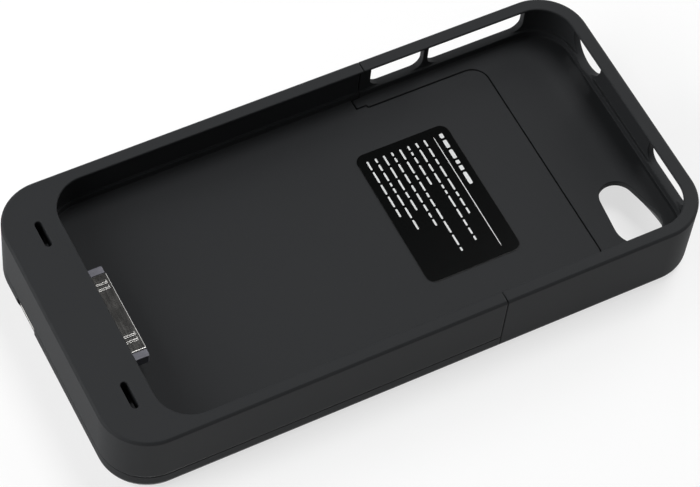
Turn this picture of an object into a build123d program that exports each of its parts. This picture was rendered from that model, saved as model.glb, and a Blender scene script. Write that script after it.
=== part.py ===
from build123d import *
import os

# Slide-on battery case for a phone: a battery body with a dock plug, and a cap that slides off it.
# Millimetres. +Z points out of the phone's screen and +Y towards the camera end.
# The origin lies on the flat back, under the middle of the case.

# Phone that the case holds
PHONE_WIDTH = 58.6
PHONE_LENGTH = 115.2
PHONE_THICK = 9.3
PHONE_PLAY = 0.3
PHONE_LIFT = 0.2

# Walls, lips, ledge and chin round the phone
SIDE_WALL = 1.33
LIP_REACH = 1.4
TOP_REACH = 1.65
LIP_THICK = 0.45
LIP_CORNER = 7.3
LIP_BEVEL = 0.15
LEDGE_HEIGHT = 1.55
LEDGE_WIDTH = 0.6
CHIN_DEPTH = 9.27
CHIN_REACH = 1.98
CHIN_WALL = 1.2
CHIN_ROOF = 1.4

# Outer form of the case
CASE_CORNER = 9.9
FOOT_ROUND = 2.3
RIM_BEVEL = 0.45
SHELL = 1.3

# Layers under the phone, from the back upwards
BACK_THICK = 1.2
SLIDE_GAP = 0.25
TONGUE_PLATE = 1.0
CELL_PLAY = 0.1
CELL_THICK = 3.35
TAPE_THICK = 0.15
FLOOR_THICK = 1.0

# Seam between tray and cover
SEAM_HEIGHT = 4.7
SEAM_GROOVE = 0.2
SEAM_DEPTH = 0.5

# Split between body and cap, with the tongue that the cap slides on
CAP_LENGTH = 46.45
SPLIT_GAP = 0.25
TONGUE_LENGTH = 26.2
TONGUE_CORNER = 3.5
TONGUE_WALL = 1.2
RAIL_REACH = 1.6
STRIP_WIDTH = 3.03
STRIP_THICK = 1.5
FLOOR_GAP = 0.3
SHOULDER = 0.6
SHOULDER_LENGTH = 0.4
SHOULDER_ROUND = 0.5
TAB_LENGTH = 1.4
END_WALL = 3.0

# Cut-outs in the cap, measured from its top end or from the middle
VOLUME_SLOT_START = 31.9
VOLUME_SLOT_LENGTH = 12.0
SWITCH_SLOT_START = 8.85
SWITCH_SLOT_LENGTH = 22.05
SLOT_FOOT_ROUND = 2.4
SLOT_HEAD_ROUND = 1.2
CUTOUT_BAR = 1.75
JACK_X = -16.55
JACK_RADIUS = 5.25
JACK_SILL = 0.8
SLEEP_X = 15.23
SLEEP_LENGTH = 14.0
CAMERA_SIDE = 8.82
CAMERA_INSET = 10.15
CAMERA_RADIUS = 5.0
FLASH_PITCH = 6.9
FLASH_RADIUS = 3.75
FLASH_SHIFT = 0.6
CAMERA_WALL = 1.4
CAMERA_FLARE = 2.7
FLASH_FLARE = 4.2
CORE_RIB = 1.4
CORE_COUNT = 3
CORE_END_WALL = 5.0

# Sound ducts in the chin
SOUND_X = 19.26
SOUND_INSET = 2.22
SOUND_LENGTH = 6.1
SOUND_WIDTH = 1.45
SOUND_RISE = 4.0
DUCT_WALL = 1.0

# Dock plug
PLUG_HEIGHT = 4.45
PLUG_WIDTH = 21.6
PLUG_THICK = 2.4
PLUG_REACH = 5.98
PLUG_END = 1.6
PLUG_END_BEVEL = 0.2
PLUG_END_SHORT = 0.1
PLUG_CORE_SHORT = 0.55
PLUG_SHEET = 0.3
PLUG_BLOCK_WIDTH = 24.0
PLUG_BLOCK_HEIGHT = 4.4
PLUG_BLOCK_DEPTH = 3.6
PLUG_SOCKET_DEPTH = 2.0
PLUG_WINDOW_PLAY = 0.3
RIB_LENGTH = 2.6
RIB_WIDTH = 0.7
RIB_HEIGHT = 0.2
RIB_PITCH = 1.25
RIB_SETBACK = 0.65
FAR_RIBS_X = -6.72
NEAR_RIBS_X = 5.83
CONTACT_COUNT = 30
CONTACT_PITCH = 0.5
CONTACT_WIDTH = 0.28
CONTACT_THICK = 0.12

# Boards
BOARD_THICK = 0.8
BOARD_HEADROOM = 1.5
BOARD_WIDTH = 40.0
BOARD_DEPTH = 18.0
BOARD_MARGIN = 0.35
BOARD_ROUND = 1.0
DOCK_BOARD_HEIGHT = 6.0
DOCK_LEG_X = 6.0
DOCK_LEG_WIDTH = 8.0
SCREW_X = 17.6
SCREW_INSET = 1.6
SCREW_RADIUS = 0.7
SCREW_HEAD_RADIUS = 1.3
SCREW_HEAD_THICK = 0.8
SCREW_DEPTH = 3.6
BOSS_HALF = 1.6
BOSS_HEIGHT = 5.0
REST_X = 17.0
REST_HALF = 1.5

# Charging socket
USB_X = -12.2
USB_WIDTH = 7.5
USB_HEIGHT = 2.45
USB_DEPTH = 5.0
USB_SHEET = 0.25
USB_ROUND = 0.6
USB_SETBACK = 0.45
USB_PLAY = 0.3
USB_TONGUE_WIDTH = 5.0
USB_TONGUE_THICK = 0.6
USB_TONGUE_LENGTH = 3.4
USB_CONTACT_COUNT = 5
USB_CONTACT_PITCH = 0.65
USB_CONTACT_WIDTH = 0.4

# Cell, protection board and leads
CELL_ROUND = 1.2
CELL_SIDE_PLAY = 0.4
CELL_END_PLAY = 0.5
TERRACE_THICK = 0.3
GUARD_DEPTH = 3.0
GUARD_LENGTH = 26.0
GUARD_GAP = 0.6
TAPE_MARGIN = 6.0
LEAD_RADIUS = 0.35
LEAD_X = 4.0
LEAD_LENGTH = 5.5

# Power button, switch and indicator lights
BUTTON_INSET = 13.0
BUTTON_RADIUS = 3.0
BUTTON_PLAY = 0.15
BUTTON_SINK = 0.35
BUTTON_FLANGE = 1.1
BUTTON_FLANGE_THICK = 0.6
BUTTON_STEM_RADIUS = 1.2
DISH_REACH = 1.6
SWITCH_SIZE = 4.5
SWITCH_HEIGHT = 1.2
PLUNGER_RADIUS = 1.0
PLUNGER_OUT = 0.4
PLUNGER_IN = 0.6
PLUNGER_TRAVEL_ROOM = 0.5
LIGHT_COUNT = 4
LIGHT_PITCH = 5.0
LIGHT_INSET = 18.5
LIGHT_WIDTH = 2.4
LIGHT_DEPTH = 1.0
LIGHT_PLAY = 0.1
GUIDE_MARGIN = 1.6
LED_LENGTH = 1.6
LED_WIDTH = 0.8
LED_HEIGHT = 0.6

# Parts on the underside of the main board
INDUCTOR_SIZE = 4.2
INDUCTOR_HEIGHT = 2.2
CHIP_SIZE = 4.0
CHIP_HEIGHT = 0.9
BOOST_WIDTH = 3.0
BOOST_HEIGHT = 1.1
POWER_ROW_X = 9.5
BOOST_X = 15.4
POWER_ROW_INSET = 10.9
CHIP_PARTS_INSET = 5.9
CAPACITOR_COUNT = 5
CAPACITOR_LENGTH = 2.0
CAPACITOR_WIDTH = 1.25
CAPACITOR_HEIGHT = 0.9
CAPACITOR_PITCH = 3.2
RESISTOR_COUNT = 6
RESISTOR_LENGTH = 1.6
RESISTOR_WIDTH = 0.8
RESISTOR_HEIGHT = 0.45
RESISTOR_PITCH = 1.7
RESISTOR_X = -15.5

# Label on the floor
LABEL_X = -0.1
LABEL_WIDTH = 32.4
LABEL_LENGTH = 20.6
LABEL_THICK = 0.12
LABEL_ROUND = 2.0
LABEL_PAST_SPLIT = 2.5

# Small gap that keeps neighbouring pieces of one body apart
SEAT_GAP = 0.05

# Places worked out from the sizes above
CAVITY_HALF = PHONE_WIDTH / 2 + PHONE_PLAY
CAVITY_LENGTH = PHONE_LENGTH + 2 * PHONE_PLAY
FOOT_HALF = CAVITY_HALF - LEDGE_WIDTH
WIDTH = 2 * (CAVITY_HALF + SIDE_WALL)
LENGTH = CHIN_DEPTH + CAVITY_LENGTH + SIDE_WALL
DOCK_END = -LENGTH / 2
TOP_END = LENGTH / 2
CAVITY_DOCK = DOCK_END + CHIN_DEPTH
CAVITY_TOP = TOP_END - SIDE_WALL
TONGUE_BOTTOM = BACK_THICK + SLIDE_GAP
PLATE_TOP = TONGUE_BOTTOM + TONGUE_PLATE
CELL_BOTTOM = PLATE_TOP + CELL_PLAY
CELL_TOP = CELL_BOTTOM + CELL_THICK
FLOOR_UNDER = CELL_TOP + TAPE_THICK
FLOOR = FLOOR_UNDER + FLOOR_THICK
STRIP_UNDER = FLOOR - STRIP_THICK
RAIL_TOP = STRIP_UNDER - SLIDE_GAP
HEIGHT = FLOOR + PHONE_THICK + PHONE_LIFT + LIP_THICK
LIP_UNDER = HEIGHT - LIP_THICK
CUTOUT_TOP = HEIGHT - CUTOUT_BAR
LEDGE = FLOOR + LEDGE_HEIGHT
SPLIT = TOP_END - CAP_LENGTH
BODY_FACE = SPLIT - SPLIT_GAP / 2
CAP_FACE = SPLIT + SPLIT_GAP / 2
TONGUE_END = SPLIT + TONGUE_LENGTH
TONGUE_HALF = FOOT_HALF - STRIP_WIDTH
BAY_END = SPLIT - END_WALL
BAY_HALF = TONGUE_HALF - TONGUE_WALL
CHIN_BACK = CAVITY_DOCK - CHIN_WALL
CAMERA_X = PHONE_WIDTH / 2 - CAMERA_SIDE
BOARD_TOP = FLOOR_UNDER - BOARD_HEADROOM
BOARD_BOTTOM = BOARD_TOP - BOARD_THICK
PLUG_Z = FLOOR + PLUG_HEIGHT
PLUG_TIP = CAVITY_DOCK + PLUG_REACH
SHELL_HALF = PLUG_WIDTH / 2 - PLUG_END
BOARD_FRONT = DOCK_END + SHELL + BOARD_MARGIN
BOARD_BACK = BOARD_FRONT + BOARD_DEPTH
USB_Z = BOARD_BOTTOM - SEAT_GAP - USB_HEIGHT / 2
USB_FACE = DOCK_END + USB_SETBACK
BLOCK_BACK = CHIN_BACK - PLUG_BLOCK_DEPTH
GUARD_FRONT = BOARD_BACK + GUARD_GAP
GUARD_BACK = GUARD_FRONT + GUARD_DEPTH
CELL_FRONT = GUARD_BACK + SEAT_GAP
CELL_BACK = TONGUE_END - TONGUE_WALL - CELL_END_PLAY
CELL_HALF = BAY_HALF - CELL_SIDE_PLAY
SCREW_Y = BOARD_FRONT + SCREW_INSET
BUTTON_Y = DOCK_END + BUTTON_INSET
LIGHT_Y = DOCK_END + LIGHT_INSET
SWITCH_BOTTOM = BOARD_BOTTOM - SWITCH_HEIGHT
PLUNGER_BOTTOM = SWITCH_BOTTOM - PLUNGER_OUT
LABEL_Y = SPLIT + LABEL_PAST_SPLIT
BEYOND = 5.0


def block(x, y, z):
    """Box from three ranges, each a pair of low and high."""
    size = [high - low for low, high in (x, y, z)]
    middle = [(high + low) / 2 for low, high in (x, y, z)]
    return Pos(*middle) * Box(*size)


def post(radius, x, y, z):
    """Round post standing at x, y over a range of heights."""
    return Pos(x, y, (z[0] + z[1]) / 2) * Cylinder(radius, z[1] - z[0])


def both_sides(solid):
    """A solid with its mirror image across the middle of the case."""
    return solid + mirror(solid, about=Plane.YZ)


def outline(half, y, corner):
    """Plan of a rounded rectangle across the middle of the case."""
    return Pos(0, (y[0] + y[1]) / 2) * RectangleRounded(2 * half, y[1] - y[0], corner)


def raised(face, z):
    """A plan extruded over a range of heights."""
    return extrude(Pos(0, 0, z[0]) * face, z[1] - z[0])


def case_form(inset):
    """The case's outer form with its round foot and bevelled rim, drawn in by an inset all round."""
    plan = outline(WIDTH / 2 - inset, (DOCK_END + inset, TOP_END - inset), CASE_CORNER - inset)
    form = raised(plan, (inset, HEIGHT))
    form = fillet(form.edges().group_by(Axis.Z)[0], FOOT_ROUND - inset)
    return chamfer(form.edges().group_by(Axis.Z)[-1], RIM_BEVEL)


def tongue_plan(half):
    """Plan of the tongue, from inside the body to its rounded end."""
    face = Pos(0, (BAY_END + TONGUE_END) / 2) * Rectangle(2 * half, TONGUE_END - BAY_END)
    return fillet(face.vertices().group_by(Axis.Y)[-1], TONGUE_CORNER)


def tongue_top_plan():
    """Plan of the tongue's top, with the wider shoulder where it leaves the body."""
    shoulder_end = SPLIT + SHOULDER_LENGTH
    shoulder_half = TONGUE_HALF + SHOULDER
    shoulder = Rectangle(2 * shoulder_half, shoulder_end - BAY_END)
    face = tongue_plan(TONGUE_HALF) + Pos(0, (BAY_END + shoulder_end) / 2) * shoulder
    step = [v for v in face.vertices() if abs(v.Y - shoulder_end) < SEAT_GAP]
    inner = [v for v in step if abs(v.X) < shoulder_half - SHOULDER / 2]
    return fillet(inner, SHOULDER_ROUND)


def rail_plan():
    """Plan of the lower, wider part of the tongue, which runs under the cap's strips."""
    return tongue_plan(TONGUE_HALF + RAIL_REACH)


def phone_cavity():
    """Room for the phone: the mouth inside the lips, the wide band and the narrower foot."""
    mouth_ends = (CAVITY_DOCK + CHIN_REACH, CAVITY_TOP - TOP_REACH)
    mouth = outline(CAVITY_HALF - LIP_REACH, mouth_ends, LIP_CORNER)
    bevel = Pos(0, 0, HEIGHT) * offset(mouth, LIP_BEVEL)
    opening = raised(mouth, (LIP_UNDER - SEAT_GAP, HEIGHT))
    flare = loft([Pos(0, 0, HEIGHT - LIP_BEVEL) * mouth, bevel])
    band_corner = LIP_CORNER + LIP_REACH
    band = raised(outline(CAVITY_HALF, (CAVITY_DOCK, CAVITY_TOP), band_corner), (LEDGE, LIP_UNDER))
    foot_ends = (CAVITY_DOCK + LEDGE_WIDTH, CAVITY_TOP - LEDGE_WIDTH)
    foot = raised(outline(FOOT_HALF, foot_ends, band_corner - LEDGE_WIDTH), (FLOOR, LEDGE + SEAT_GAP))
    return opening + flare + band + foot


def body_hollow():
    """Room inside the battery body: the bay under the floor and the taller space in the chin."""
    ends = (DOCK_END + SHELL, TOP_END - FOOT_ROUND)
    plan = outline(WIDTH / 2 - FOOT_ROUND, ends, CASE_CORNER - FOOT_ROUND)
    bay = block((-WIDTH, WIDTH), (DOCK_END, BAY_END), (0, FLOOR_UNDER))
    chin = block((-WIDTH, WIDTH), (DOCK_END, CHIN_BACK), (0, HEIGHT - CHIN_ROOF))
    return raised(plan, (BACK_THICK, HEIGHT)) & (bay + chin)


def tongue_bay():
    """Room inside the tongue, which the cell reaches into."""
    return block(
        (-BAY_HALF, BAY_HALF),
        (BAY_END - SEAT_GAP, TONGUE_END - TONGUE_WALL),
        (PLATE_TOP, FLOOR_UNDER),
    )


def tab_room():
    """Notches in the body's floor for the two tabs at the ends of the cap's strips."""
    notch = block(
        (TONGUE_HALF + SHOULDER, FOOT_HALF + SLIDE_GAP),
        (BODY_FACE - TAB_LENGTH - FLOOR_GAP, SPLIT),
        (STRIP_UNDER - SLIDE_GAP, FLOOR),
    )
    return both_sides(notch)


def sound_ducts():
    """Walled ducts that turn sound from the phone's end up through the chin."""
    y = CAVITY_DOCK - SOUND_INSET
    floor = LEDGE + DUCT_WALL
    half = SOUND_LENGTH / 2
    walls = block(
        (SOUND_X - half - DUCT_WALL, SOUND_X + half + DUCT_WALL),
        (y - SOUND_WIDTH / 2 - DUCT_WALL, CAVITY_DOCK),
        (LEDGE, HEIGHT - CHIN_ROOF / 2),
    )
    slot = extrude(Pos(SOUND_X, y, floor) * SlotOverall(SOUND_LENGTH, SOUND_WIDTH), HEIGHT - floor + BEYOND)
    turn = block(
        (SOUND_X - half + SOUND_WIDTH / 2, SOUND_X + half - SOUND_WIDTH / 2),
        (y, CAVITY_DOCK + SEAT_GAP),
        (floor, floor + SOUND_RISE),
    )
    return both_sides(walls), both_sides(slot + turn)


def usb_opening():
    """Round-ended opening through the dock end's wall for the charging plug."""
    width = USB_WIDTH + 2 * USB_PLAY
    tall = USB_HEIGHT + 2 * USB_PLAY
    face = Plane.XZ * Pos(USB_X, USB_Z) * RectangleRounded(width, tall, USB_ROUND + USB_PLAY)
    return Pos(0, USB_FACE + USB_DEPTH / 2, 0) * extrude(face, USB_DEPTH)


def board_bosses():
    """Two square bosses that take the board's screws, and two low rests, all under the tray."""
    boss = block(
        (SCREW_X - BOSS_HALF, SCREW_X + BOSS_HALF),
        (SCREW_Y - BOSS_HALF, SCREW_Y + BOSS_HALF),
        (BOARD_TOP, BOARD_TOP + BOSS_HEIGHT),
    )
    web = block(
        (SCREW_X - BOSS_HALF / 2, SCREW_X + BOSS_HALF / 2),
        (DOCK_END + SHELL / 2, SCREW_Y),
        (BOARD_TOP + BOARD_THICK, BOARD_TOP + BOSS_HEIGHT),
    )
    rest_y = BOARD_BACK - 2 * REST_HALF
    rest = block(
        (REST_X - REST_HALF, REST_X + REST_HALF),
        (rest_y - REST_HALF, rest_y + REST_HALF),
        (BOARD_TOP, FLOOR_UNDER),
    )
    pilot_top = BOARD_TOP + SCREW_DEPTH + SCREW_RADIUS
    pilot = post(SCREW_RADIUS + SEAT_GAP, SCREW_X, SCREW_Y, (BOARD_TOP, pilot_top))
    return both_sides(boss + web + rest), both_sides(pilot)


def front_tray(outer, hollow):
    """Upper half of the battery body: chin, walls, lips, floor and the tongue."""
    beyond = (-WIDTH, WIDTH)
    tray = outer & block(beyond, (-LENGTH, BODY_FACE), (SEAM_HEIGHT, HEIGHT + BEYOND))
    tray += raised(tongue_top_plan(), (RAIL_TOP, FLOOR))
    tray += raised(rail_plan(), (PLATE_TOP, RAIL_TOP))
    tray -= hollow
    ducts, sound = sound_ducts()
    bosses, pilots = board_bosses()
    tray = tray + ducts + bosses
    window = block(
        (-PLUG_WIDTH / 2 - PLUG_WINDOW_PLAY, PLUG_WIDTH / 2 + PLUG_WINDOW_PLAY),
        (CHIN_BACK - SEAT_GAP, CAVITY_DOCK + SEAT_GAP),
        (PLUG_Z - PLUG_THICK / 2 - PLUG_WINDOW_PLAY, PLUG_Z + PLUG_THICK / 2 + PLUG_WINDOW_PLAY),
    )
    for cut in (phone_cavity(), tongue_bay(), tab_room(), sound, pilots, window):
        tray -= cut
    return tray


def back_cover(outer, hollow):
    """Lower half of the battery body, stepped up under the tongue so that the cap slides below it."""
    beyond = (-WIDTH, WIDTH)
    cover = outer & block(beyond, (-LENGTH, BODY_FACE), (-BEYOND, SEAM_HEIGHT))
    cover -= raised(offset(rail_plan(), SEAT_GAP), (PLATE_TOP, SEAM_HEIGHT + BEYOND))
    cover -= hollow
    cover += raised(rail_plan(), (TONGUE_BOTTOM, PLATE_TOP))
    groove = block(beyond, (-LENGTH, BODY_FACE), (SEAM_HEIGHT - SEAM_GROOVE, SEAM_HEIGHT))
    cover -= groove - case_form(SEAM_DEPTH)
    rib_half = BAY_HALF / 2
    rib = block(
        (rib_half - SHELL / 2, rib_half + SHELL / 2),
        (CELL_FRONT + CELL_ROUND, BAY_END + SEAT_GAP),
        (BACK_THICK - SEAT_GAP, CELL_BOTTOM - SEAT_GAP),
    )
    cover += both_sides(rib)
    hole = post(BUTTON_RADIUS + BUTTON_PLAY, 0, BUTTON_Y, (-BEYOND, BACK_THICK + BEYOND))
    dish_reach = BUTTON_RADIUS + BUTTON_PLAY + DISH_REACH
    dish = Pos(0, BUTTON_Y, 0) * Cone(2 * dish_reach - BUTTON_RADIUS, BUTTON_RADIUS, 2 * BUTTON_SINK)
    cover = cover - hole - dish - usb_opening()
    for x in light_places():
        cover -= light_post(x, LIGHT_PLAY, (-BEYOND, BACK_THICK + BEYOND))
    return cover


def side_slot(start, length):
    """Opening through the left wall, with larger rounds at its foot than at its head."""
    low = TOP_END - start - length
    middle = low + length / 2
    tall = CUTOUT_TOP - LEDGE
    face = Pos(middle, LEDGE + tall / 2) * Rectangle(length, tall)
    face = fillet(face.vertices().group_by(Axis.Y)[-1], SLOT_HEAD_ROUND)
    face = fillet(face.vertices().group_by(Axis.Y)[0], SLOT_FOOT_ROUND)
    return Pos(-FOOT_HALF - LEDGE_WIDTH / 2, 0, 0) * extrude(Plane.YZ * face, -BEYOND)


def end_slot(x, length, foot, foot_round):
    """Opening through the top wall from a foot height up to the bar under the rim."""
    tall = CUTOUT_TOP - foot
    face = Pos(x, foot + tall / 2) * Rectangle(length, tall)
    face = fillet(face.vertices().group_by(Axis.Y)[-1], SLOT_HEAD_ROUND)
    face = fillet(face.vertices().group_by(Axis.Y)[0], foot_round)
    inner = CAVITY_TOP - LEDGE_WIDTH - SEAT_GAP
    return Pos(0, inner, 0) * extrude(Plane.XZ * face, -BEYOND)


def camera_hole():
    """Egg-shaped hole for camera and flash: a short straight wall, then a flare to the back."""

    def egg(lens_more, flash_more):
        lens = Pos(CAMERA_X, TOP_END - CAMERA_INSET) * Circle(CAMERA_RADIUS + lens_more)
        flash_y = TOP_END - CAMERA_INSET - FLASH_SHIFT
        flash = Pos(CAMERA_X - FLASH_PITCH, flash_y) * Circle(FLASH_RADIUS + flash_more)
        return make_hull(lens.edges() + flash.edges())

    wall_end = FLOOR - CAMERA_WALL
    straight = raised(egg(0, 0), (wall_end, FLOOR + BEYOND))
    wide = egg(2 * CAMERA_FLARE, 2 * FLASH_FLARE)
    flare = loft([Pos(0, 0, wall_end) * egg(0, 0), Pos(0, 0, -wall_end) * wide])
    return straight + flare


def cap_cores():
    """Moulding cores between ribs, beyond the tongue's end, open towards the tongue."""
    left = -BAY_HALF
    right = CAMERA_X - FLASH_PITCH - FLASH_RADIUS - FLASH_FLARE - CORE_RIB
    pitch = (right - left + CORE_RIB) / CORE_COUNT
    end = TOP_END - CORE_END_WALL
    start = TONGUE_END - TONGUE_CORNER
    cores = []
    for index in range(CORE_COUNT):
        x = left + index * pitch
        cores.append(block((x, x + pitch - CORE_RIB), (start, end), (BACK_THICK, FLOOR - STRIP_THICK)))
    return cores


def slide_cap(outer):
    """Cap that slides on round the tongue and closes the phone in."""
    cap = outer & block((-WIDTH, WIDTH), (CAP_FACE, LENGTH), (-BEYOND, HEIGHT + BEYOND))
    tab = block(
        (TONGUE_HALF + SHOULDER + FLOOR_GAP, FOOT_HALF - SEAT_GAP),
        (BODY_FACE - TAB_LENGTH, CAP_FACE + TAB_LENGTH),
        (STRIP_UNDER, FLOOR),
    )
    cap += both_sides(tab)
    cap -= phone_cavity()
    cap -= raised(offset(tongue_top_plan(), FLOOR_GAP), (STRIP_UNDER - SEAT_GAP, FLOOR + SEAT_GAP))
    cap -= raised(offset(rail_plan(), SLIDE_GAP), (BACK_THICK, STRIP_UNDER))
    for core in cap_cores():
        cap -= core
    cap -= side_slot(VOLUME_SLOT_START, VOLUME_SLOT_LENGTH)
    cap -= side_slot(SWITCH_SLOT_START, SWITCH_SLOT_LENGTH)
    cap -= end_slot(JACK_X, 2 * JACK_RADIUS, FLOOR + JACK_SILL, JACK_RADIUS - SEAT_GAP)
    cap -= end_slot(SLEEP_X, SLEEP_LENGTH, LEDGE, SLOT_FOOT_ROUND)
    cap -= camera_hole()
    return cap


def dock_plug():
    """Folded metal shell, plastic core with end blocks, and the row of contacts."""
    shell_back = CHIN_BACK - PLUG_SOCKET_DEPTH
    half_thick = PLUG_THICK / 2
    plug_heights = (PLUG_Z - half_thick, PLUG_Z + half_thick)
    sleeve = block((-SHELL_HALF, SHELL_HALF), (shell_back, PLUG_TIP), plug_heights)
    sleeve = fillet(sleeve.edges().filter_by(Axis.Y), PLUG_SHEET)
    inner_half = SHELL_HALF - PLUG_SHEET
    inner_thick = half_thick - PLUG_SHEET
    room = block(
        (-inner_half, inner_half),
        (shell_back - BEYOND, PLUG_TIP + BEYOND),
        (PLUG_Z - inner_thick, PLUG_Z + inner_thick),
    )
    shell = sleeve - room
    for middle in (FAR_RIBS_X, NEAR_RIBS_X):
        for x in (middle - RIB_PITCH / 2, middle + RIB_PITCH / 2):
            for z in plug_heights:
                rib_y = PLUG_TIP - RIB_SETBACK - RIB_LENGTH / 2
                rib = Pos(x, rib_y, z) * Box(RIB_WIDTH, RIB_LENGTH, 2 * RIB_HEIGHT)
                shell += chamfer(rib.edges().filter_by(Axis.Y), RIB_HEIGHT / 2) - room

    block_half = PLUG_BLOCK_WIDTH / 2
    high = PLUG_BLOCK_HEIGHT / 2
    core_top = PLUG_Z - SEAT_GAP
    insulator = block((-block_half, block_half), (BLOCK_BACK, CHIN_BACK), (PLUG_Z - high, PLUG_Z + high))
    end = block(
        (SHELL_HALF + SEAT_GAP, PLUG_WIDTH / 2),
        (CHIN_BACK - SEAT_GAP, PLUG_TIP - PLUG_END_SHORT),
        (PLUG_Z - half_thick + SEAT_GAP, PLUG_Z + half_thick - SEAT_GAP),
    )
    outer_corner = end.edges().filter_by(Axis.Z).group_by(Axis.Y)[-1].sort_by(Axis.X)[-1]
    insulator += both_sides(chamfer(outer_corner, PLUG_END_BEVEL))
    clear = Pos(0, SEAT_GAP / 2, 0) * block(
        (-SHELL_HALF - SEAT_GAP, SHELL_HALF + SEAT_GAP),
        (shell_back - SEAT_GAP, CHIN_BACK + BEYOND),
        (PLUG_Z - half_thick - SEAT_GAP, PLUG_Z + half_thick + SEAT_GAP),
    )
    insulator -= clear
    insulator += block(
        (-inner_half + SEAT_GAP, inner_half - SEAT_GAP),
        (shell_back - SEAT_GAP, PLUG_TIP - PLUG_CORE_SHORT),
        (PLUG_Z - inner_thick + SEAT_GAP, core_top),
    )

    contacts = []
    for index in range(CONTACT_COUNT):
        x = (index - (CONTACT_COUNT - 1) / 2) * CONTACT_PITCH
        contacts.append(
            block(
                (x - CONTACT_WIDTH / 2, x + CONTACT_WIDTH / 2),
                (shell_back + SEAT_GAP, PLUG_TIP - 2 * PLUG_CORE_SHORT),
                (core_top, core_top + CONTACT_THICK),
            )
        )
    return shell, insulator, Compound(children=contacts)


def dock_board():
    """Upright board behind the dock plug, with a leg that stands on the main board."""
    y = (BLOCK_BACK - BOARD_THICK, BLOCK_BACK)
    half = PLUG_BLOCK_WIDTH / 2
    panel = block((-half, half), y, (PLUG_Z - DOCK_BOARD_HEIGHT / 2, PLUG_Z + DOCK_BOARD_HEIGHT / 2))
    leg_half = DOCK_LEG_WIDTH / 2
    leg = block((DOCK_LEG_X - leg_half, DOCK_LEG_X + leg_half), y, (BOARD_TOP, PLUG_Z))
    return panel + leg


def main_board():
    """Flat board under the dock end, with holes for its two screws."""
    middle = (BOARD_FRONT + BOARD_BACK) / 2
    face = Pos(0, middle) * RectangleRounded(BOARD_WIDTH, BOARD_DEPTH, BOARD_ROUND)
    hole = post(SCREW_RADIUS + 2 * SEAT_GAP, SCREW_X, SCREW_Y, (BOARD_BOTTOM - BEYOND, BOARD_TOP + BEYOND))
    return raised(face, (BOARD_BOTTOM, BOARD_TOP)) - both_sides(hole)


def board_screws():
    """Two screws that hold the main board to the tray's bosses."""
    shank = post(SCREW_RADIUS, SCREW_X, SCREW_Y, (BOARD_BOTTOM, BOARD_TOP + SCREW_DEPTH))
    head = post(SCREW_HEAD_RADIUS, SCREW_X, SCREW_Y, (BOARD_BOTTOM - SCREW_HEAD_THICK, BOARD_BOTTOM))
    screw = shank + head
    return Compound(children=[screw, mirror(screw, about=Plane.YZ)])


def usb_socket():
    """Charging socket: metal shell, plastic tongue and its contacts."""

    def tube(width, tall, corner, y):
        face = Plane.XZ * Pos(USB_X, USB_Z) * RectangleRounded(width, tall, corner)
        return Pos(0, y[1], 0) * extrude(face, y[1] - y[0])

    back = USB_FACE + USB_DEPTH
    room_width = USB_WIDTH - 2 * USB_SHEET
    room_height = USB_HEIGHT - 2 * USB_SHEET
    room_corner = USB_ROUND - USB_SHEET
    room = tube(room_width, room_height, room_corner, (USB_FACE - BEYOND, back + BEYOND))
    shell = tube(USB_WIDTH, USB_HEIGHT, USB_ROUND, (USB_FACE, back)) - room

    plug_width = room_width - 2 * SEAT_GAP
    plug_height = room_height - 2 * SEAT_GAP
    stop = back - (USB_DEPTH - USB_TONGUE_LENGTH) / 2
    insulator = tube(plug_width, plug_height, room_corner, (stop, back))
    half = USB_TONGUE_WIDTH / 2
    tongue_z = USB_Z + room_height / 2 - USB_TONGUE_THICK
    tongue = block(
        (USB_X - half, USB_X + half),
        (stop - USB_TONGUE_LENGTH, stop + SEAT_GAP),
        (tongue_z - USB_TONGUE_THICK / 2, tongue_z + USB_TONGUE_THICK / 2),
    )
    contacts = []
    for index in range(USB_CONTACT_COUNT):
        x = USB_X + (index - (USB_CONTACT_COUNT - 1) / 2) * USB_CONTACT_PITCH
        under = tongue_z - USB_TONGUE_THICK / 2
        contacts.append(
            block(
                (x - USB_CONTACT_WIDTH / 2, x + USB_CONTACT_WIDTH / 2),
                (stop - USB_TONGUE_LENGTH + CONTACT_THICK, stop),
                (under - CONTACT_THICK, under),
            )
        )
    return shell, insulator + tongue, Compound(children=contacts)


def battery_cell():
    """Flat pouch cell with soft long edges and the thin sealed terrace at its dock end."""
    pouch = block((-CELL_HALF, CELL_HALF), (CELL_FRONT, CELL_BACK), (CELL_BOTTOM, CELL_TOP))
    pouch = fillet(pouch.edges().filter_by(Axis.Y), CELL_ROUND)
    terrace_top = BOARD_BOTTOM - SEAT_GAP
    terrace = block(
        (-CELL_HALF + CELL_ROUND, CELL_HALF - CELL_ROUND),
        (GUARD_FRONT, CELL_FRONT + SEAT_GAP),
        (terrace_top - TERRACE_THICK, terrace_top),
    )
    return pouch + terrace


def cell_tape():
    """Adhesive tape between the cell and the underside of the floor."""
    half = CELL_HALF - TAPE_MARGIN
    return block((-half, half), (CELL_FRONT + TAPE_MARGIN, CELL_BACK - TAPE_MARGIN), (CELL_TOP, FLOOR_UNDER))


def protection_board():
    """Narrow board on the cell's terrace."""
    half = GUARD_LENGTH / 2
    return block((-half, half), (GUARD_FRONT, GUARD_BACK), (BOARD_BOTTOM, BOARD_TOP))


def lead(x):
    """Short insulated lead from the protection board across to the main board."""
    y = GUARD_BACK - GUARD_DEPTH / 2 - LEAD_LENGTH / 2
    wire = Rot(90, 0, 0) * Cylinder(LEAD_RADIUS, LEAD_LENGTH)
    return Pos(x, y, BOARD_TOP + LEAD_RADIUS) * wire


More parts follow.
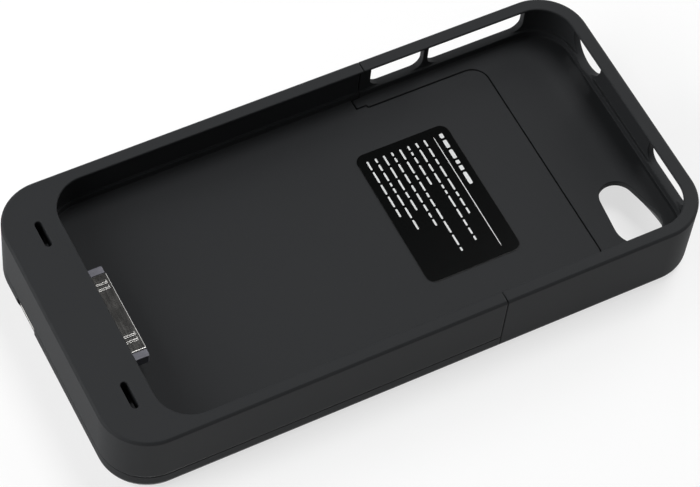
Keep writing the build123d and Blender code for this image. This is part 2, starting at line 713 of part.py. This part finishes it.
def power_button():
    """Round button in the back, held in by its flange, with a stem up to the switch."""
    cap = post(BUTTON_RADIUS, 0, BUTTON_Y, (BUTTON_SINK, BACK_THICK + 2 * SEAT_GAP))
    cap = chamfer(cap.edges().group_by(Axis.Z)[0], BUTTON_PLAY)
    flange_bottom = BACK_THICK + SEAT_GAP
    flange = post(
        BUTTON_RADIUS + BUTTON_FLANGE,
        0,
        BUTTON_Y,
        (flange_bottom, flange_bottom + BUTTON_FLANGE_THICK),
    )
    stem = post(BUTTON_STEM_RADIUS, 0, BUTTON_Y, (BACK_THICK, PLUNGER_BOTTOM - SEAT_GAP))
    return cap + flange + stem


def tact_switch():
    """Switch housing on the underside of the board, and the plunger that the button pushes."""
    half = SWITCH_SIZE / 2
    housing = block((-half, half), (BUTTON_Y - half, BUTTON_Y + half), (SWITCH_BOTTOM, BOARD_BOTTOM))
    top = SWITCH_BOTTOM + PLUNGER_IN
    room = (SWITCH_BOTTOM - BEYOND, top + PLUNGER_TRAVEL_ROOM)
    housing -= post(PLUNGER_RADIUS + 2 * SEAT_GAP, 0, BUTTON_Y, room)
    plunger = post(PLUNGER_RADIUS, 0, BUTTON_Y, (PLUNGER_BOTTOM, top))
    return housing, plunger


def light_places():
    """Places across the case of the indicator lights."""
    return [(index - (LIGHT_COUNT - 1) / 2) * LIGHT_PITCH for index in range(LIGHT_COUNT)]


def light_post(x, play, z):
    """Upright bar of one light window, with play on all four sides."""
    wide = LIGHT_WIDTH / 2 + play
    deep = LIGHT_DEPTH / 2 + play
    return block((x - wide, x + wide), (LIGHT_Y - deep, LIGHT_Y + deep), z)


def indicator_lights():
    """Small lamps under the board, and the clear guide that carries their light to the back."""
    lamps = []
    lamp_bottom = BOARD_BOTTOM - LED_HEIGHT
    half = (LIGHT_COUNT - 1) * LIGHT_PITCH / 2 + GUIDE_MARGIN
    bar_bottom = BACK_THICK + SEAT_GAP
    guide = block(
        (-half, half),
        (LIGHT_Y - GUIDE_MARGIN / 2, LIGHT_Y + GUIDE_MARGIN / 2),
        (bar_bottom, lamp_bottom - 2 * SEAT_GAP),
    )
    for x in light_places():
        lamps.append(
            block(
                (x - LED_LENGTH / 2, x + LED_LENGTH / 2),
                (LIGHT_Y - LED_WIDTH / 2, LIGHT_Y + LED_WIDTH / 2),
                (lamp_bottom, BOARD_BOTTOM),
            )
        )
        guide += light_post(x, 0, (SEAT_GAP, bar_bottom))
    return Compound(children=lamps), guide


def board_part(x, y, length, width, tall):
    """Small part seated on the underside of the main board."""
    return block(
        (x - length / 2, x + length / 2),
        (y - width / 2, y + width / 2),
        (BOARD_BOTTOM - tall, BOARD_BOTTOM),
    )


def board_parts():
    """Inductor, two chips and the rows of capacitors and resistors."""
    row_y = DOCK_END + POWER_ROW_INSET
    inductor = board_part(POWER_ROW_X, row_y, INDUCTOR_SIZE, INDUCTOR_SIZE, INDUCTOR_HEIGHT)
    inductor = fillet(inductor.edges().filter_by(Axis.Z), INDUCTOR_SIZE / 6)
    charger = board_part(-POWER_ROW_X, row_y, CHIP_SIZE, CHIP_SIZE, CHIP_HEIGHT)
    boost = board_part(BOOST_X, row_y, BOOST_WIDTH, CHIP_SIZE, BOOST_HEIGHT)
    capacitors = []
    for index in range(CAPACITOR_COUNT):
        x = (index - (CAPACITOR_COUNT - 1) / 2) * CAPACITOR_PITCH
        y = DOCK_END + CHIP_PARTS_INSET
        capacitors.append(board_part(x, y, CAPACITOR_LENGTH, CAPACITOR_WIDTH, CAPACITOR_HEIGHT))
    resistors = []
    for index in range(RESISTOR_COUNT):
        y = row_y + (index - (RESISTOR_COUNT - 1) / 2) * RESISTOR_PITCH
        resistors.append(board_part(RESISTOR_X, y, RESISTOR_LENGTH, RESISTOR_WIDTH, RESISTOR_HEIGHT))
    return inductor, charger, boost, Compound(children=capacitors), Compound(children=resistors)


def rating_label():
    """Thin sticker on the floor, across the line of the split."""
    face = Pos(LABEL_X, LABEL_Y) * RectangleRounded(LABEL_WIDTH, LABEL_LENGTH, LABEL_ROUND)
    return raised(face, (FLOOR, FLOOR + LABEL_THICK))


def all_nodes():
    """Every piece of the case by its node name."""
    outer = case_form(0)
    hollow = body_hollow()
    plug_shell, plug_insulator, plug_contacts = dock_plug()
    usb_shell, usb_insulator, usb_contacts = usb_socket()
    switch_housing, plunger = tact_switch()
    lamps, guide = indicator_lights()
    inductor, charger, boost, capacitors, resistors = board_parts()
    return {
        "front_tray": front_tray(outer, hollow),
        "back_cover": back_cover(outer, hollow),
        "slide_cap": slide_cap(outer),
        "rating_label": rating_label(),
        "dock_plug_shell": plug_shell,
        "dock_plug_insulator": plug_insulator,
        "dock_plug_contacts": plug_contacts,
        "dock_board": dock_board(),
        "main_board": main_board(),
        "board_screws": board_screws(),
        "usb_socket_shell": usb_shell,
        "usb_socket_insulator": usb_insulator,
        "usb_socket_contacts": usb_contacts,
        "battery_cell": battery_cell(),
        "cell_tape": cell_tape(),
        "protection_board": protection_board(),
        "lead_red": lead(LEAD_X),
        "lead_black": lead(-LEAD_X),
        "power_inductor": inductor,
        "charger_chip": charger,
        "boost_chip": boost,
        "board_capacitors": capacitors,
        "board_resistors": resistors,
        "indicator_leds": lamps,
        "light_guide": guide,
        "tact_switch": switch_housing,
        "switch_plunger": plunger,
        "power_button": power_button(),
    }


os.makedirs("parts", exist_ok=True)
for name, solid in all_nodes().items():
    export_step(solid, f"parts/{name}.step")
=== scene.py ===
import math

import bpy
import numpy as np
from mathutils import Matrix, Vector


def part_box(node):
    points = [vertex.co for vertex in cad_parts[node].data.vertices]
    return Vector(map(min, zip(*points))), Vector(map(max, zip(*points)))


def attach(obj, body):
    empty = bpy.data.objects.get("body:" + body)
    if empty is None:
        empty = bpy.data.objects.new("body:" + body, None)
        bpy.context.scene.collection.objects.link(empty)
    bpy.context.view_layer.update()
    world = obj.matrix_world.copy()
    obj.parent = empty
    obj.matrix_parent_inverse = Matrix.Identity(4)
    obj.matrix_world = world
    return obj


# Looks of a slide-on battery case for a phone. Metres, in the frame of the solids.

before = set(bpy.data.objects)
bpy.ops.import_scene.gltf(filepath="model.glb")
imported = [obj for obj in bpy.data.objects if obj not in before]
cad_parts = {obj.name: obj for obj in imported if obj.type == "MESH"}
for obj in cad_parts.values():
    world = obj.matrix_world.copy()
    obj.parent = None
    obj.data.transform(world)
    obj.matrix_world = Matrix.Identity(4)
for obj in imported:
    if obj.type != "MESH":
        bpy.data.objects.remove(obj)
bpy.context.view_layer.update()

# Picture and camera, worked out from the rim's four corners in the picture. Angles are in degrees.
PICTURE_WIDTH = 700
SENSOR_WIDTH = 36.0
FOCAL_PIXELS = 2854.4
CAMERA_AT = (0.25441, -0.16842, 0.46910)
CAMERA_TURN = 56.49
CAMERA_DIP = 56.69
CAMERA_ROLL = 7.51
CAMERA_NEAREST = 0.01
CAMERA_FARTHEST = 10.0

# Plain dashes on the label: thickness and lift in metres, the rest in shares of the label's own sides
DASH_THICK = 0.000015
DASH_LIFT = 0.000004
DASH_SEED = 11
DASH_POINTS = 12
DASH_SQUARENESS = 0.35
DASH_MARGIN = 0.06
DASH_SHORTEST = 0.025
DASH_LONGEST = 0.10
DASH_GAP = 0.016
HEAD_ALONG = 0.10
HEAD_TALL = 0.04
RULE_ALONG = 0.18
RULE_TALL = 0.008
ROWS_FROM = 0.28
ROWS_TO = 0.90
ROW_COUNT = 8
ROW_TALL = 0.019
ROW_SHORTEST = 0.45
ROW_LONGEST = 0.90

# Seal in the split between body and cap, on the end of the body's walls
SEAL_FOOT = 0.016595
SEAL_THICK = 0.00027
SEAL_INSET = 0.00035
SEAL_WIDTH = 0.00065
SEAL_TOP = 0.0163
SEAL_ROUND = 0.0023
SEAL_ARC_POINTS = 13
SEAL_CORNERS = 4

# Softening of edges: most on the coated housings, less on folded sheet metal, least on the small parts
COAT_ROUND = 0.00042
SHEET_ROUND = 0.00022
PART_ROUND = 0.00012
ROUND_SAMPLES = 16

# Soft-touch coating: patterns in features per metre, their shares of tone and roughness, and the relief
COAT_DRIFT = 45
COAT_GRAIN = 3200
COAT_DRIFT_TONE = 0.6
COAT_GRAIN_TONE = 0.4
COAT_ROUGH = 0.56
COAT_DRIFT_ROUGH = 0.06
COAT_GRAIN_ROUGH = 0.10
COAT_DEPTH = 0.00003
COAT_RELIEF = 0.35

# Label's film and its print
FILM_DARK = (0.0014, 0.0016, 0.0016)
FILM_LIGHT = (0.0024, 0.0027, 0.0027)
FILM_RIPPLE = 140
FILM_GRAIN = 2500
FILM_ROUGH = 0.12
FILM_GRAIN_ROUGH = 0.05
FILM_DEPTH = 0.0002
FILM_RELIEF = 0.05
INK_DARK = (0.55, 0.56, 0.56)
INK_LIGHT = (0.78, 0.79, 0.79)
INK_COVER = 2200
INK_ROUGH = 0.45
INK_COVER_ROUGH = 0.15

# Plated sheet metal, and how far its rolling lines are drawn out along each axis
SHEET_LINES = 2600
SHEET_STAIN = 420
SHEET_LINE_TONE = 0.6
SHEET_STAIN_TONE = 0.4
SHEET_ROUGH = 0.11
SHEET_LINE_ROUGH = 0.08
SHEET_STAIN_ROUGH = 0.06
SHEET_DEPTH = 0.00001
SHEET_RELIEF = 0.03
ACROSS_CASE = (0.06, 1, 1)
ALONG_CASE = (1, 0.1, 1)
ALONG_CELL = (1, 0.2, 1)

# Moulded plastic and epoxy
MOULD_MOTTLE = 1400
MOULD_MOTTLE_ROUGH = 0.12
MOULD_DEPTH = 0.00002
MOULD_RELIEF = 0.2

# Clear plastic of the light guide
GUIDE_DARK = (0.80, 0.83, 0.84)
GUIDE_LIGHT = (0.93, 0.95, 0.95)
GUIDE_CLOUD = 900
GUIDE_ROUGH = 0.08
GUIDE_CLOUD_ROUGH = 0.12

# Surround: its light on the case, and the heights between which gloss sees it darken from the horizon
SURROUND_LEVEL = 0.03
ZENITH_LEVEL = 0.05
HORIZON_LEVEL = 1.0
HORIZON_LOW = 0.12
HORIZON_HIGH = 0.62

# Table, and how much of its white is a glow that only shows where it is seen
TABLE_DARK = (0.93, 0.93, 0.93)
TABLE_LIGHT = (0.95, 0.95, 0.95)
TABLE_SPECK = 40
TABLE_GLOW = 0.67
TABLE_REACH = 3.0
TABLE_DROP = 0.00002

# What the lamps are turned to
CASE_MIDDLE = (0.0, 0.0, 0.0)
CHIN_MIDDLE = (0.0, -0.047, 0.017)


class Wire:
    """A shader value whose arithmetic adds Math nodes to its node tree."""

    def __init__(self, tree, socket):
        self.tree = tree
        self.socket = socket

    def math(self, operation, *values):
        node = self.tree.nodes.new("ShaderNodeMath")
        node.operation = operation
        for slot, value in zip(node.inputs, values):
            join(self.tree, slot, value)
        return Wire(self.tree, node.outputs[0])

    def __add__(self, other):
        return self.math("ADD", self, other)

    def __rsub__(self, other):
        return self.math("SUBTRACT", other, self)

    def __mul__(self, other):
        return self.math("MULTIPLY", self, other)

    __radd__ = __add__
    __rmul__ = __mul__

    def or_more(self, other):
        """The larger of two values."""
        return self.math("MAXIMUM", self, other)


def join(tree, slot, value):
    """Links a wire to a socket, or sets a plain value on it."""
    if isinstance(value, Wire):
        tree.links.new(value.socket, slot)
    else:
        slot.default_value = value


class Tree:
    """A node tree that nodes are added to by name."""

    def __init__(self, tree):
        self.tree = tree

    def node(self, kind, settings=None, output=0, values=(), **sockets):
        """Adds a node: its settings first, then its sockets' values or links, in order or by name."""
        node = self.tree.nodes.new("ShaderNode" + kind)
        for label, value in (settings or {}).items():
            setattr(node, label, value)
        for slot, value in zip(node.inputs, values):
            join(self.tree, slot, value)
        for label, value in sockets.items():
            join(self.tree, node.inputs[label.replace("_", " ")], value)
        return Wire(self.tree, node.outputs[output])

    def ray(self, kind):
        """1 for rays of one kind, and 0 for all others."""
        return self.node("LightPath", output="Is " + kind + " Ray")

    def seen(self):
        """1 for rays that show a surface directly, in a mirror or through glass, and 0 for the rest."""
        return self.ray("Camera").or_more(self.ray("Glossy").or_more(self.ray("Transmission")))


class Finish(Tree):
    """A material with one Principled shader and constants on its own sockets."""

    def __init__(self, name, **constants):
        self.material = bpy.data.materials.new(name)
        self.material.use_nodes = True
        super().__init__(self.material.node_tree)
        self.shader = self.tree.nodes["Principled BSDF"]
        for label, value in constants.items():
            self.shader.inputs[label.replace("_", " ")].default_value = value

    def place(self, stretch):
        """Object coordinates, stretched along each axis."""
        spot = self.node("TexCoord", output="Object")
        return self.node("Mapping", Vector=spot, Scale=stretch)

    def noise(self, scale, detail=2.0, stretch=(1, 1, 1)):
        """Noise value between 0 and 1 whose features are one over scale metres wide."""
        return self.node("TexNoise", Vector=self.place(stretch), Scale=scale, Detail=detail)

    def blend(self, share, first, second):
        """Colour between two colours."""
        kind = {"data_type": "RGBA"}
        return self.node("Mix", kind, "Result", Factor=share, A=(*first, 1), B=(*second, 1))

    def feed(self, label, value):
        """Connects a wire to the shader."""
        join(self.tree, self.shader.inputs[label], value)

    def cover(self, kind, share):
        """Mixes another shader over what the surface shows, by a share."""
        surface = self.tree.nodes["Material Output"].inputs["Surface"]
        under = Wire(self.tree, surface.links[0].from_socket)
        join(self.tree, surface, self.node("MixShader", values=(share, under, self.node(kind))))

    def relief(self, height, depth, strength, edge=PART_ROUND):
        """Bump over softened edges."""
        soft = self.node("Bevel", {"samples": ROUND_SAMPLES}, Radius=edge)
        bump = self.node("Bump", Height=height, Distance=depth, Strength=strength, Normal=soft)
        self.feed("Normal", bump)


def soft_touch(name, dark, light):
    """Soft-touch coating: tone that drifts slowly, and an even fine grain that breaks up the sheen."""
    coat = Finish(name, Specular_IOR_Level=0.13)
    drift = coat.noise(COAT_DRIFT, detail=3.0)
    grain = coat.noise(COAT_GRAIN)
    tone = drift * COAT_DRIFT_TONE + grain * COAT_GRAIN_TONE
    coat.feed("Base Color", coat.blend(tone, dark, light))
    coat.feed("Roughness", COAT_ROUGH + drift * COAT_DRIFT_ROUGH + grain * COAT_GRAIN_ROUGH)
    coat.relief(grain, COAT_DEPTH, COAT_RELIEF, COAT_ROUND)
    return coat.material


def label_film():
    """Glossy black film that lies almost flat on the floor."""
    film = Finish("label_film", Specular_IOR_Level=0.2)
    ripple = film.noise(FILM_RIPPLE, detail=1.0)
    grain = film.noise(FILM_GRAIN)
    film.feed("Base Color", film.blend(grain, FILM_DARK, FILM_LIGHT))
    film.feed("Roughness", FILM_ROUGH + grain * FILM_GRAIN_ROUGH)
    film.relief(ripple, FILM_DEPTH, FILM_RELIEF)
    return film.material


def label_ink():
    """White print, a little uneven in its cover."""
    ink = Finish("label_ink", Specular_IOR_Level=0.4)
    cover = ink.noise(INK_COVER, detail=3.0)
    ink.feed("Base Color", ink.blend(cover, INK_DARK, INK_LIGHT))
    ink.feed("Roughness", INK_ROUGH + cover * INK_COVER_ROUGH)
    return ink.material


def brushed_metal(name, dark, light, stretch):
    """Plated sheet with fine rolling lines along one axis."""
    sheet = Finish(name, Metallic=1.0)
    lines = sheet.noise(SHEET_LINES, detail=3.0, stretch=stretch)
    stain = sheet.noise(SHEET_STAIN)
    tone = lines * SHEET_LINE_TONE + stain * SHEET_STAIN_TONE
    sheet.feed("Base Color", sheet.blend(tone, dark, light))
    sheet.feed("Roughness", SHEET_ROUGH + lines * SHEET_LINE_ROUGH + stain * SHEET_STAIN_ROUGH)
    sheet.relief(lines, SHEET_DEPTH, SHEET_RELIEF, SHEET_ROUND)
    return sheet.material


def moulded(name, dark, light, rough):
    """Plain moulded plastic or epoxy with a faint mottle."""
    body = Finish(name, Specular_IOR_Level=0.45)
    mottle = body.noise(MOULD_MOTTLE, detail=3.0)
    body.feed("Base Color", body.blend(mottle, dark, light))
    body.feed("Roughness", rough + mottle * MOULD_MOTTLE_ROUGH)
    body.relief(mottle, MOULD_DEPTH, MOULD_RELIEF)
    return body.material


def clear_guide():
    """Clear plastic of the light guide, faintly clouded."""
    guide = Finish("clear_guide", Transmission_Weight=0.85, IOR=1.49)
    cloud = guide.noise(GUIDE_CLOUD)
    guide.feed("Base Color", guide.blend(cloud, GUIDE_DARK, GUIDE_LIGHT))
    guide.feed("Roughness", GUIDE_ROUGH + cloud * GUIDE_CLOUD_ROUGH)
    return guide.material


def dress(node, material):
    """Gives a solid of the frame its finish."""
    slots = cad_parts[node].data.materials
    slots.clear()
    slots.append(material)


def dress_all():
    """Finishes of every solid, each made from its darker and its lighter colour."""
    coating = soft_touch("soft_touch_black", (0.0180, 0.0190, 0.0204), (0.0236, 0.0248, 0.0264))
    button = soft_touch("button_black", (0.022, 0.022, 0.023), (0.030, 0.030, 0.031))
    steel = brushed_metal("plug_steel", (0.22, 0.22, 0.22), (0.42, 0.41, 0.39), ACROSS_CASE)
    tin = brushed_metal("screw_tin", (0.42, 0.42, 0.41), (0.62, 0.62, 0.60), ALONG_CASE)
    gold = brushed_metal("contact_gold", (0.66, 0.47, 0.16), (0.86, 0.66, 0.30), ALONG_CASE)
    foil = brushed_metal("cell_foil", (0.58, 0.58, 0.60), (0.78, 0.78, 0.80), ALONG_CELL)
    grey = moulded("plug_grey", (0.13, 0.13, 0.155), (0.20, 0.20, 0.235), rough=0.42)
    mask = moulded("board_green", (0.012, 0.085, 0.04), (0.022, 0.14, 0.065), rough=0.3)
    black = moulded("chip_black", (0.012, 0.012, 0.013), (0.028, 0.028, 0.03), rough=0.5)
    white = moulded("tape_white", (0.66, 0.66, 0.64), (0.82, 0.82, 0.80), rough=0.6)
    ferrite = moulded("ferrite_grey", (0.07, 0.07, 0.075), (0.13, 0.13, 0.135), rough=0.65)
    ceramic = moulded("capacitor_tan", (0.34, 0.22, 0.12), (0.48, 0.34, 0.21), rough=0.5)
    red = moulded("lead_red", (0.36, 0.012, 0.012), (0.5, 0.022, 0.02), rough=0.4)
    diode = moulded("lamp_white", (0.72, 0.72, 0.62), (0.86, 0.86, 0.76), rough=0.3)
    finishes = {
        coating: ("front_tray", "back_cover", "slide_cap"),
        button: ("power_button",),
        label_film(): ("rating_label",),
        steel: ("dock_plug_shell", "usb_socket_shell"),
        tin: ("board_screws",),
        gold: ("dock_plug_contacts", "usb_socket_contacts"),
        foil: ("battery_cell",),
        grey: ("dock_plug_insulator",),
        mask: ("main_board", "dock_board", "protection_board"),
        black: (
            "usb_socket_insulator",
            "charger_chip",
            "boost_chip",
            "board_resistors",
            "tact_switch",
            "lead_black",
        ),
        white: ("cell_tape", "switch_plunger"),
        ferrite: ("power_inductor",),
        ceramic: ("board_capacitors",),
        red: ("lead_red",),
        diode: ("indicator_leds",),
        clear_guide(): ("light_guide",),
    }
    for material, nodes in finishes.items():
        for node in nodes:
            dress(node, material)


def mesh_piece(name, points, faces, material):
    """New mesh object at the origin from lists of points and faces."""
    mesh = bpy.data.meshes.new(name)
    mesh.from_pydata(points, [], faces)
    mesh.materials.append(material)
    mesh.update()
    piece = bpy.data.objects.new(name, mesh)
    bpy.context.scene.collection.objects.link(piece)
    return piece


def label_rows():
    """Left ends, rows, lengths and heights of the dashes on the label, in shares of its sides.

    Each row starts at the margin, and its dashes follow each other at one gap. A dash's length and a
    row's reach are drawn evenly between two limits, and dashes that would pass the reach are left out.
    """
    draw = np.random.default_rng(DASH_SEED)
    most = int(1 / (DASH_SHORTEST + DASH_GAP))
    along = np.concatenate([[HEAD_ALONG], np.linspace(ROWS_FROM, ROWS_TO, ROW_COUNT)])
    tall = np.where(along == HEAD_ALONG, HEAD_TALL, ROW_TALL)
    wide = draw.uniform(DASH_SHORTEST, DASH_LONGEST, (len(along), most))
    reach = draw.uniform(ROW_SHORTEST, ROW_LONGEST, (len(along), 1))
    end = DASH_MARGIN + np.cumsum(wide + DASH_GAP, axis=1) - DASH_GAP
    kept = end < reach
    along, tall = (np.broadcast_to(row[:, None], kept.shape)[kept] for row in (along, tall))
    rule = (DASH_MARGIN, RULE_ALONG, 1 - 2 * DASH_MARGIN, RULE_TALL)
    return np.vstack([np.column_stack([(end - wide)[kept], along, wide[kept], tall]), rule])


def label_dashes():
    """Rows of plain white dashes and one thin rule, raised a little off the label's film.

    A dash is a flattened superellipse: its outline is the signed power of cosine and sine, scaled
    to the dash's half sizes, in a foot ring and a top ring that are both closed by one face.
    """
    low, high = (np.array(corner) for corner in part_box("rating_label"))
    size = high - low
    start, along, wide, tall = label_rows().T[:, :, None]
    turn = np.linspace(0, 2 * np.pi, DASH_POINTS, endpoint=False)
    round_x = np.sign(np.cos(turn)) * np.abs(np.cos(turn)) ** DASH_SQUARENESS
    round_y = np.sign(np.sin(turn)) * np.abs(np.sin(turn)) ** DASH_SQUARENESS
    ring_x = low[0] + size[0] * (start + wide / 2 * (1 + round_x))
    ring_y = high[1] - size[1] * (along + tall / 2 * round_y)
    foot_z = high[2] + DASH_LIFT
    foot = np.stack([ring_x, ring_y, np.full_like(ring_x, foot_z)], axis=-1)
    top = np.stack([ring_x, ring_y, np.full_like(ring_x, foot_z + DASH_THICK)], axis=-1)
    points = np.concatenate([foot, top], axis=1).reshape(-1, 3)
    first = np.arange(len(start))[:, None] * 2 * DASH_POINTS
    step = np.arange(DASH_POINTS)
    after = (step + 1) % DASH_POINTS
    walls = np.stack([after, step, step + DASH_POINTS, after + DASH_POINTS], axis=-1)
    walls = (first[:, :, None] + walls).reshape(-1, 4)
    tops = first + DASH_POINTS + step[::-1]
    bottoms = first + step
    faces = walls.tolist() + tops.tolist() + bottoms.tolist()
    piece = mesh_piece("label_dashes", points.tolist(), faces, label_ink())
    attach(piece, "pack")


def split_seal():
    """Thin black seal on the end of the body's walls, which keeps light out of the split.

    Its middle line is a U in the plane across the case: a leg up each side, a quarter circle round
    each foot edge, and a flat bottom. The line is set off by half the width to either side, and
    both edges are drawn out along the case by the thickness.
    """
    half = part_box("front_tray")[1][0] - SEAL_ROUND
    bend = SEAL_ROUND - SEAL_INSET - SEAL_WIDTH / 2
    angle = np.linspace(np.pi, 1.5 * np.pi, SEAL_ARC_POINTS)
    line_x = np.concatenate([[-half - bend], -half + bend * np.cos(angle)])
    line_z = np.concatenate([[SEAL_TOP], SEAL_ROUND + bend * np.sin(angle)])
    out_x = np.concatenate([[-1.0], np.cos(angle)])
    out_z = np.concatenate([[0.0], np.sin(angle)])
    line, out = (
        np.stack([np.concatenate([x, -x[::-1]]), np.concatenate([z, z[::-1]])])
        for x, z in ((line_x, line_z), (out_x, out_z))
    )
    outer = line + out * SEAL_WIDTH / 2
    inner = line - out * SEAL_WIDTH / 2
    count = line.shape[1]
    near = np.full(count, SEAL_FOOT)
    far = near + SEAL_THICK
    corners = ((outer, near), (outer, far), (inner, far), (inner, near))
    runs = [np.stack([edge[0], level, edge[1]], axis=-1) for edge, level in corners]
    points = np.stack(runs, axis=1).reshape(-1, 3)
    ring = np.arange(count - 1)[:, None] * SEAL_CORNERS
    side = np.arange(SEAL_CORNERS)
    here = ring + side
    beside = ring + (side + 1) % SEAL_CORNERS
    walls = np.stack([here, beside, beside + SEAL_CORNERS, here + SEAL_CORNERS], axis=-1)
    walls = walls.reshape(-1, 4)
    ends = np.stack([side[::-1], side + (count - 1) * SEAL_CORNERS])
    black = moulded("seal_black", (0.012, 0.012, 0.013), (0.020, 0.020, 0.021), rough=0.6)
    piece = mesh_piece("split_seal", points.tolist(), walls.tolist() + ends.tolist(), black)
    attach(piece, "pack")


def camera():
    """Camera at the picture's viewpoint, turned about the upright and rolled about its own axis."""
    turn, dip, roll = (math.radians(angle) for angle in (CAMERA_TURN, CAMERA_DIP, CAMERA_ROLL))
    reach = math.cos(dip)
    ahead = Vector((-math.sin(turn) * reach, math.cos(turn) * reach, -math.sin(dip)))
    level = ahead.cross(Vector((0, 0, 1))).normalized()
    above = level.cross(ahead)
    right = level * math.cos(roll) + above * math.sin(roll)
    up = right.cross(ahead)
    data = bpy.data.cameras.new("camera")
    data.sensor_width = SENSOR_WIDTH
    data.lens = FOCAL_PIXELS * SENSOR_WIDTH / PICTURE_WIDTH
    data.clip_start = CAMERA_NEAREST
    data.clip_end = CAMERA_FARTHEST
    eye = bpy.data.objects.new("camera", data)
    facing = Matrix((right, up, -ahead)).transposed().to_4x4()
    eye.matrix_world = Matrix.Translation(CAMERA_AT) @ facing
    bpy.context.scene.collection.objects.link(eye)
    bpy.context.scene.camera = eye


def surround():
    """Dim even light from all round: a white backdrop to the eye, and to gloss a white horizon that
    darkens overhead.
    """
    world = bpy.data.worlds.new("surround")
    world.use_nodes = True
    sky = Tree(world.node_tree)
    height = sky.node("SeparateXYZ", Vector=sky.node("TexCoord", output="Generated"), output="Z")
    shown = sky.node(
        "MapRange",
        Value=height,
        From_Min=HORIZON_LOW,
        From_Max=HORIZON_HIGH,
        To_Min=HORIZON_LEVEL,
        To_Max=ZENITH_LEVEL,
    )
    mirrored = sky.ray("Glossy")
    plain = sky.ray("Camera") + sky.ray("Transmission")
    stray = mirrored * shown + (1 - mirrored) * SURROUND_LEVEL
    level = plain * HORIZON_LEVEL + (1 - plain) * stray
    background = world.node_tree.nodes["Background"]
    background.inputs["Color"].default_value = (1, 1, 1, 1)
    join(world.node_tree, background.inputs["Strength"], level)
    bpy.context.scene.world = world


def table():
    """Wide white table, a hair below the case, that glows where it is seen, so its shadow stays pale.

    Its underside shows nothing and it stops no light, so that the back can be looked at from below.
    """
    white = Finish("table_white", Specular_IOR_Level=0.1, Roughness=0.9)
    white.feed("Base Color", white.blend(white.noise(TABLE_SPECK), TABLE_DARK, TABLE_LIGHT))
    white.cover("Emission", white.seen() * TABLE_GLOW)
    white.cover("BsdfTransparent", white.node("NewGeometry", output="Backfacing"))
    near, far, level = -TABLE_REACH, TABLE_REACH, -TABLE_DROP
    corners = [(near, near, level), (far, near, level), (far, far, level), (near, far, level)]
    top = mesh_piece("table", corners, [(0, 1, 2, 3)], white.material)
    top.visible_shadow = False


def lamp(name, at, size, power, aim=CASE_MIDDLE):
    """Soft light panel of a width and height at a place, turned towards an aim, and not seen itself."""
    data = bpy.data.lights.new(name, "AREA")
    data.shape = "RECTANGLE"
    data.size, data.size_y = size
    data.energy = power
    light = bpy.data.objects.new(name, data)
    light.location = at
    light.rotation_euler = (Vector(aim) - Vector(at)).to_track_quat("-Z", "Y").to_euler()
    light.visible_camera = False
    bpy.context.scene.collection.objects.link(light)


def lamps():
    """Soft panels over and beyond the camera end and the dock end, a dim card that edges catch, and
    one below the table for the back of the case.
    """
    lamp("camera_end", at=(-0.12, 0.38, 1.0), size=(0.42, 0.42), power=5.8)
    lamp("camera_low", at=(0.0, 0.98, 0.5), size=(1.1, 0.7), power=3.0)
    lamp("dock_near", at=(-0.05, -0.277, 0.21), size=(0.36, 0.2), power=0.56, aim=CHIN_MIDDLE)
    lamp("dock_low", at=(-0.45, -0.85, 0.45), size=(0.9, 0.7), power=5.4)
    lamp("edge_card", at=(-0.46, 0.74, 0.48), size=(0.4, 0.6), power=2.0)
    lamp("back_card", at=(0.0, 0.0, -1.4), size=(0.2, 0.2), power=7.0)


dress_all()
label_dashes()
split_seal()
camera()
surround()
table()
lamps()
bpy.context.scene.view_settings.view_transform = "Standard"
